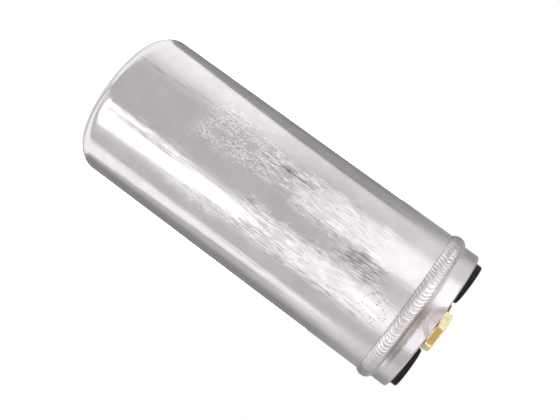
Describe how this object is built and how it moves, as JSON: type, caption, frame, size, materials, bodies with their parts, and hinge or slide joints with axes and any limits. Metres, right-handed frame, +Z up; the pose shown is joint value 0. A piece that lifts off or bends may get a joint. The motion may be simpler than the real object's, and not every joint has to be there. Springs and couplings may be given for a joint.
{
  "type": "filter drier",
  "caption": "Receiver drier of a vehicle air conditioner: a round-ended aluminium can welded to a head with capped ports, a sight glass and a brass hexagon plug.",
  "frame": {"origin": "centre of the can's closed flat end, on the plane that it stands on", "axes": "+Z runs up the can's axis from the closed end to the head; +X runs through the outlet port; -Y faces the side of the hexagon plug"},
  "size_m": [0.0632, 0.0632, 0.148],
  "materials": {
    "polished_aluminium": "drawn and polished, with fine lengthwise scratches",
    "machined_aluminium": "turned face, satin rim",
    "weld_aluminium": "as-welded ripples",
    "black_plastic": "moulded, satin",
    "plug_brass": "machined, lightly tarnished",
    "fusible_metal": "cast grey low-melting alloy",
    "copper_seal": "soft annealed",
    "passivated_steel": "olive passivation",
    "clear_glass": "polished",
    "green_rubber": "moulded",
    "tube_aluminium": "drawn tube",
    "white_plastic": "moulded",
    "strainer_steel": "fine woven mesh",
    "pressed_aluminium": "pressed and punched sheet",
    "grey_felt": "pressed fibre felt",
    "desiccant_beads": "packed round beads",
    "spring_steel": "flat drawn wire"
  },
  "bodies": {
    "root": {"can_shell": "polished_aluminium", "head": "machined_aluminium", "weld_bead": "weld_aluminium", "inlet_cap": "black_plastic", "outlet_cap": "black_plastic", "fusible_plug": "plug_brass", "fusible_alloy": "fusible_metal", "plug_seal": "copper_seal", "sight_glass_ring": "passivated_steel", "sight_glass": "clear_glass", "sight_glass_seal": "green_rubber", "pickup_tube": "tube_aluminium", "tube_seal": "green_rubber", "strainer_frame": "white_plastic", "strainer_mesh": "strainer_steel", "bed_carrier": "pressed_aluminium", "bottom_felt": "grey_felt", "desiccant_bed": "desiccant_beads", "top_felt": "grey_felt", "top_plate": "pressed_aluminium", "bed_spring": "spring_steel"}
  },
  "joints": []
}
